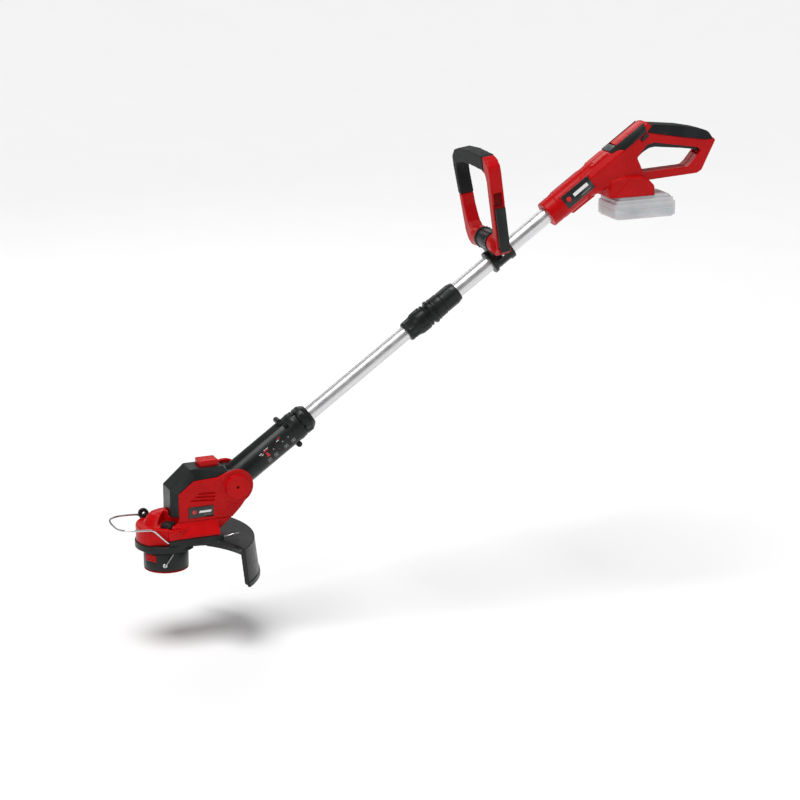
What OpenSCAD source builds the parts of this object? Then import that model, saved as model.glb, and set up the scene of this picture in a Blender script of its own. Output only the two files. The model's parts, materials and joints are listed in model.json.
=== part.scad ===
// Battery string trimmer: swivelling cutting head, telescopic aluminium shaft,
// auxiliary loop handle and rear handle with a slide-on battery pack.
// The origin is on the spool axis at the bottom of the bump cap, +X points
// towards the user's hand, +Z is up and the symmetry plane is Y = 0.

/* [Shaft] */
// Slope of the shaft above the ground, in degrees
shaft_slope = 35; // [34:0.5:36]
// Outside diameter of the upper tube
upper_tube_d = 28; // [27.5:0.1:28.5]
// Outside diameter of the lower tube
lower_tube_d = 25; // [24.5:0.1:25.2]
// Wall of both tubes
tube_wall = 1.2; // [1:0.1:1.3]

/* [Cutting head] */
// Diameter of the spool cover
spool_d = 76; // [74:1:78]
// Radius of the guard at the top of its skirt
guard_r = 150; // [140:5:155]
// Half angle of the guard skirt, in degrees
guard_half_angle = 46; // [40:1:48]
// Width of the head between the outer faces of its side shells
head_w = 68; // [66:1:70]

/* [Handles] */
// Width of the rear grip
grip_w = 33; // [31:0.5:35]
// Forward lean of the auxiliary handle, in degrees
aux_lean = 8; // [4:1:12]
// Depth of the auxiliary loop, measured across its two flat faces
aux_depth = 23; // [21:0.5:24]

/* [Battery] */
// Width of the battery pack
battery_w = 75; // [72:1:78]
// Length of the battery pack
battery_l = 118; // [114:1:122]

/* [Hidden] */

$fn = 64;

// Small gap left between separate pieces
gap = 0.3;
// Radial clearance of a turning or sliding fit
fit_gap = 0.06;

// Head pivot, where the shaft axis meets the tilt axis
pivot_x = 116;
pivot_z = 139;

// Stations along the shaft, measured from the head pivot
neck_end = 148;
collar_start = 154;
collar_end = 176;
lower_tube_start = 62;
lower_tube_end = 520;
nut_start = 395;
nut_end = 443;
sleeve_start = 448;
sleeve_end = 509;
upper_tube_start = 450;
upper_tube_end = 770;
housing_start = 718;

lower_r = lower_tube_d / 2;
upper_r = upper_tube_d / 2;
half_grip = grip_w / 2;
half_head = head_w / 2;
spool_r = spool_d / 2;
neck_r = 25;

// Place on the XZ plane of a point s along the shaft and v above its axis
function on_axis(s, v = 0) =
    [pivot_x + s * cos(shaft_slope) - v * sin(shaft_slope),
     pivot_z + s * sin(shaft_slope) + v * cos(shaft_slope)];

// Children drawn about +Z, moved onto the shaft axis; local +X is up, +Y is near
module along_shaft(s = 0) {
    translate([pivot_x, 0, pivot_z])
        rotate([0, 90 - shaft_slope, 0])
            rotate([0, 0, 180])
                translate([0, 0, s])
                    children();
}

// Flat outline in XZ, made solid from y0 to y1
module slab(y0, y1) {
    translate([0, y1, 0])
        rotate([90, 0, 0])
            linear_extrude(y1 - y0)
                children();
}

// Round bar along Y
module cross_bar(x, z, r, y0, y1) {
    translate([x, y1, z])
        rotate([90, 0, 0])
            cylinder(r = r, h = y1 - y0);
}

module ring(r_out, r_in, z0, z1) {
    difference() {
        translate([0, 0, z0]) cylinder(r = r_out, h = z1 - z0);
        translate([0, 0, z0 - 1]) cylinder(r = r_in, h = z1 - z0 + 2);
    }
}

module both_sides() {
    children();
    mirror([0, 1, 0]) children();
}

module near_half() {
    intersection() {
        children();
        translate([-500, -400, -500]) cube([2000, 400, 2000]);
    }
}

module far_half() {
    intersection() {
        children();
        translate([-500, 0, -500]) cube([2000, 400, 2000]);
    }
}

// Closed tube swept along a list of points, with rings of n sides
function unit(v) = v / norm(v);
function direction(p, i) =
    unit(p[min(i + 1, len(p) - 1)] - p[max(i - 1, 0)]);
function side_of(t) = unit(cross(t, abs(t[2]) < 0.9 ? [0, 0, 1] : [1, 0, 0]));
// The side vector is carried along the route, so that the tube never twists
function carried(p, i) =
    i == 0 ? side_of(direction(p, 0))
           : let (s = carried(p, i - 1), t = direction(p, i))
             unit(s - t * (s * t));

module swept_tube(p, r, n = 8) {
    count = len(p);
    sides = [for (i = [0:count - 1]) carried(p, i)];
    verts = [for (i = [0:count - 1])
                let (t = direction(p, i), a = sides[i], b = cross(t, a))
                for (k = [0:n - 1])
                    p[i] + r * (cos(360 * k / n) * a + sin(360 * k / n) * b)];
    // Each wall panel is two triangles, clockwise seen from outside
    walls = [for (i = [0:count - 2])
                for (k = [0:n - 1])
                    let (k2 = (k + 1) % n, j = i + 1)
                    each [[i * n + k, j * n + k2, i * n + k2],
                          [i * n + k, j * n + k, j * n + k2]]];
    caps = [[for (k = [0:n - 1]) k],
            [for (k = [n - 1:-1:0]) (count - 1) * n + k]];
    polyhedron(points = verts, faces = concat(caps, walls));
}

// ---------------------------------------------------------------- rear handle

// Outer line of the D-shaped grip, seen from the side
grip_outline = [[868, 598], [897, 601.5], [990, 607], [999, 612], [1025, 664],
                [1010, 680], [1003, 684], [956, 692.5], [898, 698], [880, 698], [866, 690]];
// Finger opening
finger_outline = [[868, 643], [882, 615], [971, 619.5], [980, 627], [996.5, 647],
                  [990, 653], [903, 667], [886, 663]];
// Body behind the tube socket
body_outline = [on_axis(800, -24), on_axis(812, -27), [826, 594], [878, 600],
                [882, 615], [868, 643], [886, 663], [898, 690], [893, 698],
                on_axis(955, 20), on_axis(945, 22.3), on_axis(829, 22.3),
                on_axis(825, 20), on_axis(800, 20)];
// Battery shoe below the body
shoe_outline = [[812, 576.5], [899, 576.5], [898, 594], [887, 605], [874, 612],
                [838, 613], [814, 605]];
// Soft grip on the top of the handle
rubber_outline = [[899, 699.6], [956, 693.6], [988, 687.4], [1005, 682.6], [1011, 679],
                  [1020, 667], [1005, 666], [963, 672.4], [907, 682.4], [898, 684],
                  [886.5, 686.2]];
// Plastic core under the soft grip
rubber_core = [[880, 697], [955, 690], [987, 683.6], [1003, 679], [1008, 676], [1014, 660],
               [963, 668], [880, 680]];
rubber_core_half = 13;
// Loose red cap on the top of the body
cap_outline = [on_axis(888, 14.3), on_axis(888, 22.6), on_axis(947, 22.6),
               on_axis(957, 19), on_axis(960, 14.3)];
// Black band over the top and the strip that runs back from it
band_outline = [on_axis(870, 19.5), on_axis(870, 30), on_axis(887.7, 30), on_axis(887.7, 16)];
// Strip that runs back on each sloping shoulder
strip_outline = [on_axis(883, 19.5), on_axis(883, 30), on_axis(952, 30), on_axis(944, 8.5),
                 on_axis(892, 10.9)];
shoe_half = 31;
body_half = 25;
cap_half = 13.5;

// The body narrows towards the grip, seen from above
module body_taper(grow) {
    wide = body_half + 0.5 + grow;
    narrow = half_grip + 1.5 + grow;
    linear_extrude(900)
        polygon([[600, -wide], [838, -wide], [896, -narrow], [1040, -narrow],
                 [1040, narrow], [896, narrow], [838, wide], [600, wide]]);
}

// Cross-section of the body, with sloping shoulders, carried along the shaft
module body_section(grow) {
    shoulder = 22.5 + grow;
    flat_half = cap_half + 0.3 + grow;
    side = body_half + 0.5 + grow;
    along_shaft(700)
        linear_extrude(400)
            polygon([[-220, -side], [10, -side], [shoulder, -flat_half],
                     [shoulder, flat_half], [10, side], [-220, side]]);
}

module housing_outside() {
    along_shaft() {
        translate([0, 0, housing_start]) cylinder(r = 24, h = 24);
        translate([0, 0, housing_start + 24]) cylinder(r = 24.5, h = 95);
    }
    // Flats that carry the badges
    badge_place()
        translate([-13.5, 0, 748]) cube([27, 24.4, 66]);
    difference() {
        intersection() {
            slab(-body_half, body_half) polygon(body_outline);
            body_taper(0);
            body_section(0);
        }
        // Round corners where the body leaves the tube socket
        along_shaft()
            rotate_extrude()
                polygon([[25.5, 790], [25.5, 801], [35, 838], [60, 838], [60, 790]]);
    }
    slab(-half_grip, half_grip) polygon(grip_outline);
    intersection() {
        slab(-shoe_half, shoe_half) polygon(shoe_outline);
        translate([0, 0, 560])
            linear_extrude(60)
                polygon([[811, -25], [817, -shoe_half], [900, -shoe_half],
                         [900, shoe_half], [817, shoe_half], [811, 25]]);
    }
    // Low rib under the tube socket
    slab(-7, 7) polygon([on_axis(754, -20), on_axis(808, -20), on_axis(808, -29),
                         on_axis(758, -28)]);
}

// The badges lie on flats turned a little towards the top
module badge_place() {
    both_sides()
        along_shaft()
            rotate([0, 0, -14])
                children();
}

module housing_inside() {
    slab(-200, 200) polygon(finger_outline);
    badge_place()
        translate([-12.6, 24.4, 749.9]) cube([25.2, 6, 61.2]);
    // Tube socket
    along_shaft(housing_start - 1) cylinder(r = upper_r, h = upper_tube_end - housing_start + 1);
    // Room for the control board and the wires
    slab(-18, 18) polygon([on_axis(769, -12), on_axis(769, 12), on_axis(864, 8),
                           [860, 652], [858, 622], [842, 610]]);
    // Switch and trigger well in the grip
    slab(-9.5, 9.5) polygon([[862, 634], [866, 682], [938, 682], [945, 674],
                             [1000, 663], [1004, 650], [996, 640], [885, 640]]);
    // Channel for the battery rails, open to the rear
    translate([825, -27, 580.3]) cube([100, 54, 9.2]);
    translate([825, -23, 570]) cube([100, 46, 12]);
    // Pocket for the contact block
    translate([842, -17, 588]) cube([26, 34, 24]);
    // Soft parts and loose trims lie in their own recesses
    difference() {
        slab(-200, 200)
            polygon([[905, 706], [1008, 692], [1024, 684], [1020, 667], [1005, 666],
                     [963, 672.4], [907, 682.4], [898, 684], [886.5, 686.2]]);
        slab(-rubber_core_half, rubber_core_half) polygon(rubber_core);
    }
    slab(-200, 200) polygon(band_outline);
    slab(-cap_half - 0.3, cap_half + 0.3)
        polygon([on_axis(880, 14), on_axis(880, 33), on_axis(975, 33), on_axis(961, 14)]);
    both_sides()
        slab(-200, -cap_half - 0.1) polygon(strip_outline);
    // Cross slot for the lock button
    slab(-200, 200) translate([881.5, 678.3]) rotate(35) square([17, 6.6], center = true);
    // Screws go in from the far side
    for (p = screw_places) {
        cross_bar(p[0], p[1], 2, -12, 40);
        cross_bar(p[0], p[1], 4, 11, 40);
    }
}

// Housing screws: places seen from the side
screw_places = [on_axis(735, 18), on_axis(735, -18), [886, 607.5], [987, 617],
                [1009, 655], on_axis(905, 1)];

// Pin moulded on the halves, on which the trigger turns
trigger_pin = [996, 657];

module housing_both() {
    difference() {
        housing_outside();
        housing_inside();
    }
    cross_bar(trigger_pin[0], trigger_pin[1], 2, -12, 12);
}

module housing_near() {
    color("red") near_half() housing_both();
}

module housing_far() {
    color("red") far_half() housing_both();
}

module top_cap() {
    color("red")
        difference() {
            slab(-cap_half, cap_half) polygon(cap_outline);
            slab(-cap_half + 2.5, cap_half - 2.5)
                polygon([on_axis(891, 13), on_axis(891, 20), on_axis(946, 20),
                         on_axis(954, 17), on_axis(956, 13)]);
        }
}

module trim_band() {
    color("dimgray")
        difference() {
            intersection() {
                union() {
                    slab(-body_half - 2, body_half + 2) polygon(band_outline);
                    both_sides()
                        slab(-body_half - 2, -cap_half - 0.2) polygon(strip_outline);
                }
                body_taper(0.8);
                body_section(0.8);
            }
            slab(-cap_half - 0.2, cap_half + 0.2)
                polygon([on_axis(860, 0), on_axis(860, 20), on_axis(885, 20), on_axis(887.5, 40),
                         on_axis(960, 40), on_axis(960, 0)]);
        }
}

module grip_rubber() {
    color("dimgray")
        difference() {
            slab(-half_grip - 0.7, half_grip + 0.7) polygon(rubber_outline);
            slab(-rubber_core_half, rubber_core_half) polygon(rubber_core);
        }
}

module handle_badges() {
    color("black")
        badge_place()
            translate([-12.5, 24.4, 750]) cube([25, 1, 61]);
}

module housing_screws() {
    color("silver")
        for (p = screw_places) {
            cross_bar(p[0], p[1], 1.9, -11.8, 11);
            cross_bar(p[0], p[1], 3.6, 11, 13.6);
        }
}

module control_board() {
    color("green")
        translate([0, -8, 0])
            slab(0, 1.6)
                polygon([on_axis(776, -8), on_axis(776, 9), on_axis(838, 6), on_axis(838, -12)]);
}

module trigger_switch() {
    color("black") {
        slab(-8, 8) polygon([[906, 676.8], [932, 675], [932, 681.8], [906, 681.8]]);
        cross_bar(912, 675.6, 2.2, -5, 5);
    }
}

module contact_block() {
    color("black")
        translate([844, -15, 589.8]) cube([22, 30, 18]);
    color("goldenrod")
        for (y = [-11, -4, 4, 11])
            translate([846, y - 0.4, 581.5]) cube([16, 0.8, 8.3]);
}

// Lead from the control board down the upper tube
module handle_cable() {
    color("black")
        along_shaft(530) cylinder(r = 2.2, h = 245);
}

module upper_tube() {
    color("silver")
        along_shaft() ring(upper_r, upper_r - tube_wall, upper_tube_start, upper_tube_end - gap);
}

// Fixed half of the telescope clamp
module clamp_sleeve() {
    color("dimgray")
        along_shaft()
            rotate_extrude()
                polygon([[upper_r, sleeve_start], [22, sleeve_start], [22, sleeve_start + 7],
                         [19.8, sleeve_start + 8], [19.8, sleeve_start + 18],
                         [19, sleeve_start + 19], [19, sleeve_start + 22],
                         [18, sleeve_start + 23], [18, sleeve_start + 27],
                         [19, sleeve_start + 28], [19, sleeve_end - 12],
                         [16.8, sleeve_end], [upper_r, sleeve_end]]);
}

module trigger() {
    color("dimgray")
        difference() {
            union() {
                slab(-9, 9) polygon([[868.5, 644], [873, 640], [885, 650], [897, 656.5],
                                     [908, 658], [960, 652.5], [984, 649], [992, 645.5],
                                     [998, 648], [1001, 655], [994, 661], [908, 668],
                                     [886, 666]]);
                cross_bar(trigger_pin[0], trigger_pin[1], 5, -9, 9);
            }
            cross_bar(trigger_pin[0], trigger_pin[1], 2 + fit_gap, -10, 10);
        }
}

module lock_button() {
    color("dimgray")
        slab(-half_grip - 5.5, half_grip + 5.5)
            translate([881.5, 678.3]) rotate(35) square([16.2, 5.8], center = true);
}

// -------------------------------------------------------------- battery pack

battery_x0 = 821;
battery_z0 = 538;
battery_top = 576.2;
case_split = 556;

module battery_plan(inset) {
    x0 = battery_x0 + inset;
    x1 = battery_x0 + battery_l - inset;
    y1 = battery_w / 2 - inset;
    corner = 5;
    polygon([[x0, -y1 + corner], [x0 + corner, -y1], [x1 - corner, -y1], [x1, -y1 + corner],
             [x1, y1 - corner], [x1 - corner, y1], [x0 + corner, y1], [x0, y1 - corner]]);
}

module battery_case() {
    color("lightgray")
        difference() {
            union() {
                translate([0, 0, battery_z0]) linear_extrude(4) battery_plan(3);
                translate([0, 0, battery_z0 + 3]) linear_extrude(case_split - battery_z0 - 3)
                    battery_plan(0);
            }
            translate([0, 0, battery_z0 + 3.5]) linear_extrude(40) battery_plan(3.5);
        }
}

module battery_lid() {
    color("lightgray")
        difference() {
            union() {
                translate([0, 0, case_split]) linear_extrude(9) battery_plan(0);
                translate([0, 0, case_split + 9]) linear_extrude(6) battery_plan(3);
                translate([0, 0, case_split + 15]) linear_extrude(battery_top - case_split - 15)
                    battery_plan(8);
                // Rails that slide in the shoe
                translate([827, -22.4, battery_top]) cube([71, 44.8, 4.6]);
                translate([827, -26.4, battery_top + 4.6]) cube([71, 52.8, 7.8]);
            }
            translate([0, 0, case_split - 1]) linear_extrude(7) battery_plan(3.5);
            translate([0, 0, case_split - 1]) linear_extrude(battery_top - case_split - 2)
                battery_plan(11);
            // Slots that take the contact blades
            for (y = [-11, -4, 4, 11])
                translate([826, y - 1, 580]) cube([38, 2, 12]);
            translate([841, -18, 588]) cube([28, 36, 3]);
            translate([827 - 1, -18, 588]) cube([20, 36, 3]);
            // Latch pocket
            translate([battery_x0 + battery_l - 9, -15, 559]) cube([10, 30, 12]);
        }
}

module battery_cells() {
    color("steelblue")
        for (i = [0:4])
            cross_bar(846 + i * 18.6, 551.2, 9.1, -32, 32);
}

module battery_latch() {
    color("dimgray")
        translate([battery_x0 + battery_l - 6, -14.5, 559.5]) cube([7.5, 29, 11]);
}

// ---------------------------------------------------------- telescope and neck

module clamp_nut() {
    color("dimgray")
        along_shaft()
            difference() {
                union() {
                    rotate_extrude()
                        polygon([[13.2, nut_start], [16.5, nut_start], [17.5, nut_start + 3],
                                 [17.8, nut_start + 17], [20.5, nut_start + 23],
                                 [20.8, nut_end - 4], [20, nut_end], [13.2, nut_end]]);
                    for (i = [0:9])
                        rotate([0, 0, i * 36])
                            translate([15, -1.6, nut_start + 21])
                                cube([6.8, 3.2, nut_end - nut_start - 24]);
                }
                translate([0, 0, nut_start - 1])
                    cylinder(r = 13.1, h = nut_end - nut_start + 2);
            }
}

module lower_tube() {
    color("silver")
        along_shaft() ring(lower_r, lower_r - tube_wall, lower_tube_start, lower_tube_end);
}

module tube_bush() {
    color("black")
        along_shaft(lower_tube_end)
            ring(upper_r - tube_wall - 0.1, 7.6, 0, 14);
}

module coiled_cable() {
    color("black")
        along_shaft() ring(7, 3.2, 70, 515);
}

module lock_collar() {
    color("dimgray")
        along_shaft()
            difference() {
                rotate_extrude()
                    polygon([[lower_r + fit_gap, collar_start], [24, collar_start],
                             [24.6, collar_start + 2], [24.6, collar_start + 11],
                             [18.5, collar_end], [lower_r + fit_gap, collar_end]]);
                for (i = [0:5])
                    rotate([0, 0, i * 60 + 30])
                        translate([22.6, -4, collar_start - 1]) cube([5, 8, 9]);
            }
}

// Screw bosses on the upper and lower edge of the neck
neck_bosses = [[126, 28], [131, -28]];

module neck_body() {
    difference() {
        union() {
            cross_bar(pivot_x, pivot_z, 24, -29.5, 29.5);
            along_shaft() {
                translate([0, 0, 10]) cylinder(r = neck_r, h = neck_end - 10);
                translate([0, 0, neck_end - 8]) cylinder(r = neck_r + 0.6, h = 6);
            }
            for (b = neck_bosses)
                cross_bar(on_axis(b[0], b[1])[0], on_axis(b[0], b[1])[1], 5, -9, 9);
        }
        // Round seat for the lower tube
        along_shaft(55) cylinder(r = lower_r + fit_gap, h = 100);
        // Cable way
        along_shaft(-12) cylinder(r = 8, h = 80);
        cross_bar(pivot_x, pivot_z, 5 + fit_gap, -40, 40);
        for (b = neck_bosses)
            cross_bar(on_axis(b[0], b[1])[0], on_axis(b[0], b[1])[1], 2, -40, 40);
        // Screw recess on the near side
        along_shaft()
            translate([14.5, 12, 126]) cube([7, 14, 8]);
    }
}

module neck_near() {
    color("dimgray") near_half() neck_body();
}

module neck_far() {
    color("dimgray") far_half() neck_body();
}

module neck_screws() {
    color("silver")
        for (b = neck_bosses) {
            p = on_axis(b[0], b[1]);
            cross_bar(p[0], p[1], 1.9, -9.6, 8);
            cross_bar(p[0], p[1], 3.2, -11, -9.1);
        }
}

// ------------------------------------------------------------ auxiliary handle

// The loop turns on a hub that stands on the upper tube
hub_s = 609;
hub_v = 34;
hub = on_axis(hub_s, hub_v);

module at_hub() {
    translate([hub[0], 0, hub[1]])
        rotate([0, -aux_lean, 0])
            children();
}

// Flat outline across the loop, made solid over the given depth
module loop_slab(depth) {
    at_hub()
        translate([-depth / 2, 0, 0])
            rotate([90, 0, 90])
                linear_extrude(depth)
                    children();
}

loop_outer = [[-56, -14], [-59, 20], [-61, 128], [-59, 141], [-50, 151], [-34, 156],
              [20, 158], [62, 155], [82, 149], [93, 137], [94, 122], [84, 60],
              [76, 4], [68, -10], [56, -17], [42, -17], [23.5, -14], [-23.5, -14],
              [-44, -18]];
loop_inner = [[-42, 20], [-43, 112], [-40, 124], [-30, 131], [20, 133], [60, 131],
              [74, 126], [78, 116], [77, 104], [68, 50], [58, 24], [46, 13],
              [23.5, 13], [-23.5, 13]];
rubber_near_y = -36;
rubber_low_t = 70;

module aux_clamp_body() {
    difference() {
        union() {
            cross_bar(hub[0], hub[1], 17.5, -19.5, 19.5);
            along_shaft() {
                translate([0, 0, hub_s - 24]) cylinder(r = 18, h = 45);
                translate([0, 0, hub_s - 24]) cylinder(r = 21, h = 6);
                translate([0, 0, hub_s + 13]) cylinder(r = 20, h = 8);
                translate([2, -13, hub_s - 16]) cube([24, 26, 32]);
                // Ears for the clamp screws
                translate([-4.5, -26, hub_s - 14]) cube([9, 52, 26]);
            }
        }
        along_shaft(hub_s - 40) cylinder(r = upper_r + fit_gap, h = 80);
        cross_bar(hub[0], hub[1], 4 + fit_gap, -40, 40);
        for (y = [-22, 22])
            along_shaft(hub_s - 1)
                translate([-20, y, 0]) rotate([0, 90, 0]) cylinder(r = 2.1, h = 60);
    }
}

module aux_clamp_upper() {
    color("dimgray")
        intersection() {
            aux_clamp_body();
            along_shaft(hub_s - 60) translate([0.2, -60, 0]) cube([80, 120, 120]);
        }
}

module aux_clamp_lower() {
    color("dimgray")
        intersection() {
            aux_clamp_body();
            along_shaft(hub_s - 60) translate([-80.2, -60, 0]) cube([80, 120, 120]);
        }
}

module aux_clamp_screws() {
    color("silver")
        for (y = [-22, 22])
            along_shaft(hub_s - 1)
                translate([0, y, 0]) rotate([0, 90, 0]) {
                    translate([0, 0, -4.4]) cylinder(r = 2, h = 8.8);
                    translate([0, 0, 4.6]) cylinder(r = 3.6, h = 2.6);
                    translate([0, 0, 4.2]) cylinder(r = 2, h = 1);
                }
}

module ratchet_discs() {
    teeth = 24;
    color("dimgray")
        both_sides()
            translate([hub[0], -19.6, hub[1]])
                rotate([90, 0, 0])
                    difference() {
                        linear_extrude(3.4)
                            polygon([for (i = [0:2 * teeth - 1])
                                        let (r = i % 2 == 0 ? 19.8 : 18.2, a = i * 180 / teeth)
                                        [r * cos(a), r * sin(a)]]);
                        translate([0, 0, -1]) cylinder(r = 4 + fit_gap, h = 6);
                    }
}

module aux_loop() {
    color("red")
        difference() {
            union() {
                difference() {
                    loop_slab(aux_depth) polygon(loop_outer);
                    loop_slab(aux_depth + 10) polygon(loop_inner);
                    // The soft cover lies in this stretch
                    at_hub() {
                        translate([-20, rubber_near_y, 100]) cube([40, 200, 80]);
                        translate([-20, 40, rubber_low_t]) cube([40, 100, 80]);
                    }
                    // Hub gap between the two ends
                    cross_bar(hub[0], hub[1], 60, -23.4, 23.4);
                    // Flat where the lever lies
                    at_hub() translate([-9.2, -80, -30]) cube([18.4, 22.6, 104]);
                }
                cross_bar(hub[0], hub[1], 18, -44, -23.4);
                cross_bar(hub[0], hub[1], 18, 23.4, 44);
                // Hinge cheeks and pin of the lever
                at_hub()
                    difference() {
                        union() {
                            translate([-aux_depth / 2, -63, -12]) cube([2, 10, 10]);
                            translate([aux_depth / 2 - 2, -63, -12]) cube([2, 10, 10]);
                            translate([-aux_depth / 2, -61.5, -7])
                                rotate([0, 90, 0]) cylinder(r = 2, h = aux_depth);
                        }
                    }
            }
            cross_bar(hub[0], hub[1], 4, -52, 52);
        }
    color("red")
        intersection() {
            loop_slab(aux_depth - 9)
                difference() {
                    polygon([for (p = loop_outer) [p[0] - 4.5 * sign(p[0]), min(p[1], 151)]]);
                    polygon([for (p = loop_inner) [p[0] + 4.5 * sign(p[0]), p[1] > 60 ? p[1] + 5 : p[1]]]);
                }
            at_hub()
                union() {
                    translate([-20, rubber_near_y - 1, 112]) cube([40, 200, 80]);
                    translate([-20, 50, rubber_low_t - 1]) cube([40, 100, 80]);
                }
        }
}

module aux_rubber() {
    color("dimgray")
        difference() {
            intersection() {
                loop_slab(aux_depth + 1.4)
                    difference() {
                        polygon(loop_outer);
                        polygon(loop_inner);
                    }
                at_hub()
                    union() {
                        translate([-20, rubber_near_y, 100]) cube([40, 200, 80]);
                        translate([-20, 40, rubber_low_t]) cube([40, 100, 80]);
                    }
            }
            loop_slab(aux_depth - 9)
                difference() {
                    polygon([for (p = loop_outer) [p[0] - 4.5 * sign(p[0]), min(p[1], 151)]]);
                    polygon([for (p = loop_inner) [p[0] + 4.5 * sign(p[0]), p[1] > 60 ? p[1] + 5 : p[1]]]);
                }
        }
}

module aux_bolt() {
    color("silver")
        cross_bar(hub[0], hub[1], 4, -51, 46);
}

module aux_lever() {
    color("dimgray")
        at_hub()
            difference() {
                union() {
                    translate([-9, -64.6, -7]) cube([18, 6, 75]);
                    translate([-9, -61.5, -7]) rotate([0, 90, 0]) cylinder(r = 3.1, h = 18);
                }
                translate([-12, -61.5, -7]) rotate([0, 90, 0]) cylinder(r = 2 + fit_gap, h = 24);
            }
}

// ---------------------------------------------------------------- cutting head

base_r = 50;
base_z = 52;
panel_outline = [[12, 86.2], [15, 94], [15, 135], [42, 155.5], [84, 158], [100, 165],
                 [116, 166], [143, 139], [136, 118], [123, 101], [109, 87],
                 [108, 86.2]];
cap_centre = [[3.5, 94], [3.5, 141.5], [40, 173.5], [97, 173.5], [97, 94]];
cap_edge = [[15, 94], [15, 134], [45, 159], [104, 163], [104, 94]];
boss_r = 30;
boss_y = 43;
wire_y = 46;

module head_base() {
    color("red")
        difference() {
            union() {
                // Round nose and dome
                intersection() {
                    rotate_extrude()
                        polygon([[0, base_z], [base_r, base_z], [base_r, 78], [48.5, 80],
                                 [0, 80.3]]);
                    translate([-60, -60, 0]) cube([90, 120, 120]);
                }
                intersection() {
                    scale([1, 0.82, 1])
                        rotate_extrude()
                            polygon([[0, 79], [38.6, 79], [38, 80.3], [35, 86], [31.5, 92],
                                     [26, 98], [15, 102], [0, 104]]);
                    translate([-60, -60, 0]) cube([90, 120, 120]);
                }
                // Shoulders on both sides
                translate([-8, 0, 0])
                    rotate([90, 0, 90])
                        linear_extrude(90)
                            polygon([[-43, base_z], [43, base_z], [43, 62], [49, 62],
                                     [49, 66], [half_head, 86], [-half_head, 86],
                                     [-49, 66], [-49, 62], [-43, 62]]);
                slab(-half_head + 3.8, half_head - 3.8)
                    polygon([[10, 80], [10, 94], [88, 94], [100, 90], [96, 76], [86, 66]]);
                // Rear end below the side shells
                slab(-half_head, half_head)
                    polygon([[70, 64], [82, 64], [88, 70], [107, 86], [70, 86]]);
            }
            // Side shells close the head from here on
            both_sides()
                slab(-60, -half_head + 3.7) polygon(panel_outline);
            motor_cap_pocket();
            // Knuckle of the neck
            cross_bar(pivot_x, pivot_z, 26, -60, 60);
            // Motor room
            translate([0, 0, base_z - 1]) cylinder(r = 25, h = 20.5);
            translate([0, 0, base_z - 1]) cylinder(r = 7, h = 30);
            // Wire room behind the motor
            translate([26, -28, base_z + 3]) cube([50, 56, 60]);
            // The nose is cut back on both sides where the wire guard comes out
            both_sides()
                translate([0, 0, base_z - 1])
                    linear_extrude(60)
                        polygon([[-60, -20], [-39, -32], [-8, -43], [-8, -70], [-60, -70]]);
            // Way for the bent arms of the wire guard
            both_sides()
                translate([-12, -60, base_z - 1]) cube([120, 17, 11]);
            // Flat round the wire button, and its pocket
            translate([-3, -27, 83.5]) rotate(45) translate([-15, -15, 0]) cube([30, 30, 40]);
            translate([-3, -27, 74]) rotate(45) translate([-9.9, -9.9, 0]) cube([19.8, 19.8, 40]);
        }
}

module motor_cap_pocket() {
    translate([3.1, -30.4, 93.6]) cube([130, 60.8, 120]);
}

module head_shell() {
    pivot = [pivot_x, pivot_z];
    difference() {
        union() {
            slab(-half_head, -half_head + 3.6)
                union() {
                    polygon(panel_outline);
                    translate(pivot) circle(r = boss_r - 1);
                }
            cross_bar(pivot_x, pivot_z, boss_r, -half_head - 1.2, -half_head + 1);
            cross_bar(pivot_x, pivot_z, 20.5, -boss_y, -half_head + 1);
        }
        cross_bar(pivot_x, pivot_z, 2.6, -60, 0);
        // Recess of the badge
        slab(-half_head - 1, -half_head + 0.6) translate([30, 91]) square([46, 21]);
    }
}

module head_shell_near() {
    color("red") head_shell();
}

module head_shell_far() {
    color("red") mirror([0, 1, 0]) head_shell();
}

module motor_cap() {
    color("dimgray")
        difference() {
            hull() {
                slab(-20, 20) polygon(cap_centre);
                slab(-30, 30) polygon(cap_edge);
            }
            slab(-26.5, 26.5)
                polygon([[18, 93], [18, 132], [46, 155], [96, 158], [96, 93]]);
            // Button pocket
            translate([58.6, -14.4, 163]) cube([33.8, 28.8, 30]);
            // Way of the neck when the head is tilted up
            slab(-25.8, 25.8)
                polygon([[93, 150.4], [112, 187.6], [150, 187.6], [150, 139], [116, 139]]);
            // Knuckle of the neck
            cross_bar(pivot_x, pivot_z, 26, -60, 60);
        }
}

module pivot_bolt() {
    color("silver") {
        cross_bar(pivot_x, pivot_z, 5, -30.2, 30.2);
        both_sides() cross_bar(pivot_x, pivot_z, 2.5, -half_head - 1, -30);
    }
}

module motor_can() {
    color("silver")
        difference() {
            translate([0, 0, base_z + 1]) cylinder(r = 24.6, h = 18);
            translate([0, 0, base_z + 3]) cylinder(r = 21, h = 14);
            translate([0, 0, base_z - 5]) cylinder(r = 2.6, h = 60);
        }
}

module rotor() {
    color("silver") {
        translate([0, 0, 9]) cylinder(r = 2.5, h = 64);
        translate([0, 0, base_z + 4]) cylinder(r = 20, h = 12);
    }
}

// Outline of the guard deck seen from above, drawn in by inset all round
module deck_outline(inset) {
    circle(r = 52 - inset);
    difference() {
        intersection() {
            circle(r = guard_r - inset, $fn = 128);
            translate([inset / sin(guard_half_angle), 0])
                polygon([[0, 0], [300 * cos(guard_half_angle), -300 * sin(guard_half_angle)],
                         [300, 0],
                         [300 * cos(guard_half_angle), 300 * sin(guard_half_angle)]]);
        }
        for (side = [-1, 1])
            translate([37, side * 104]) circle(r = 64 + inset);
    }
}

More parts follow.
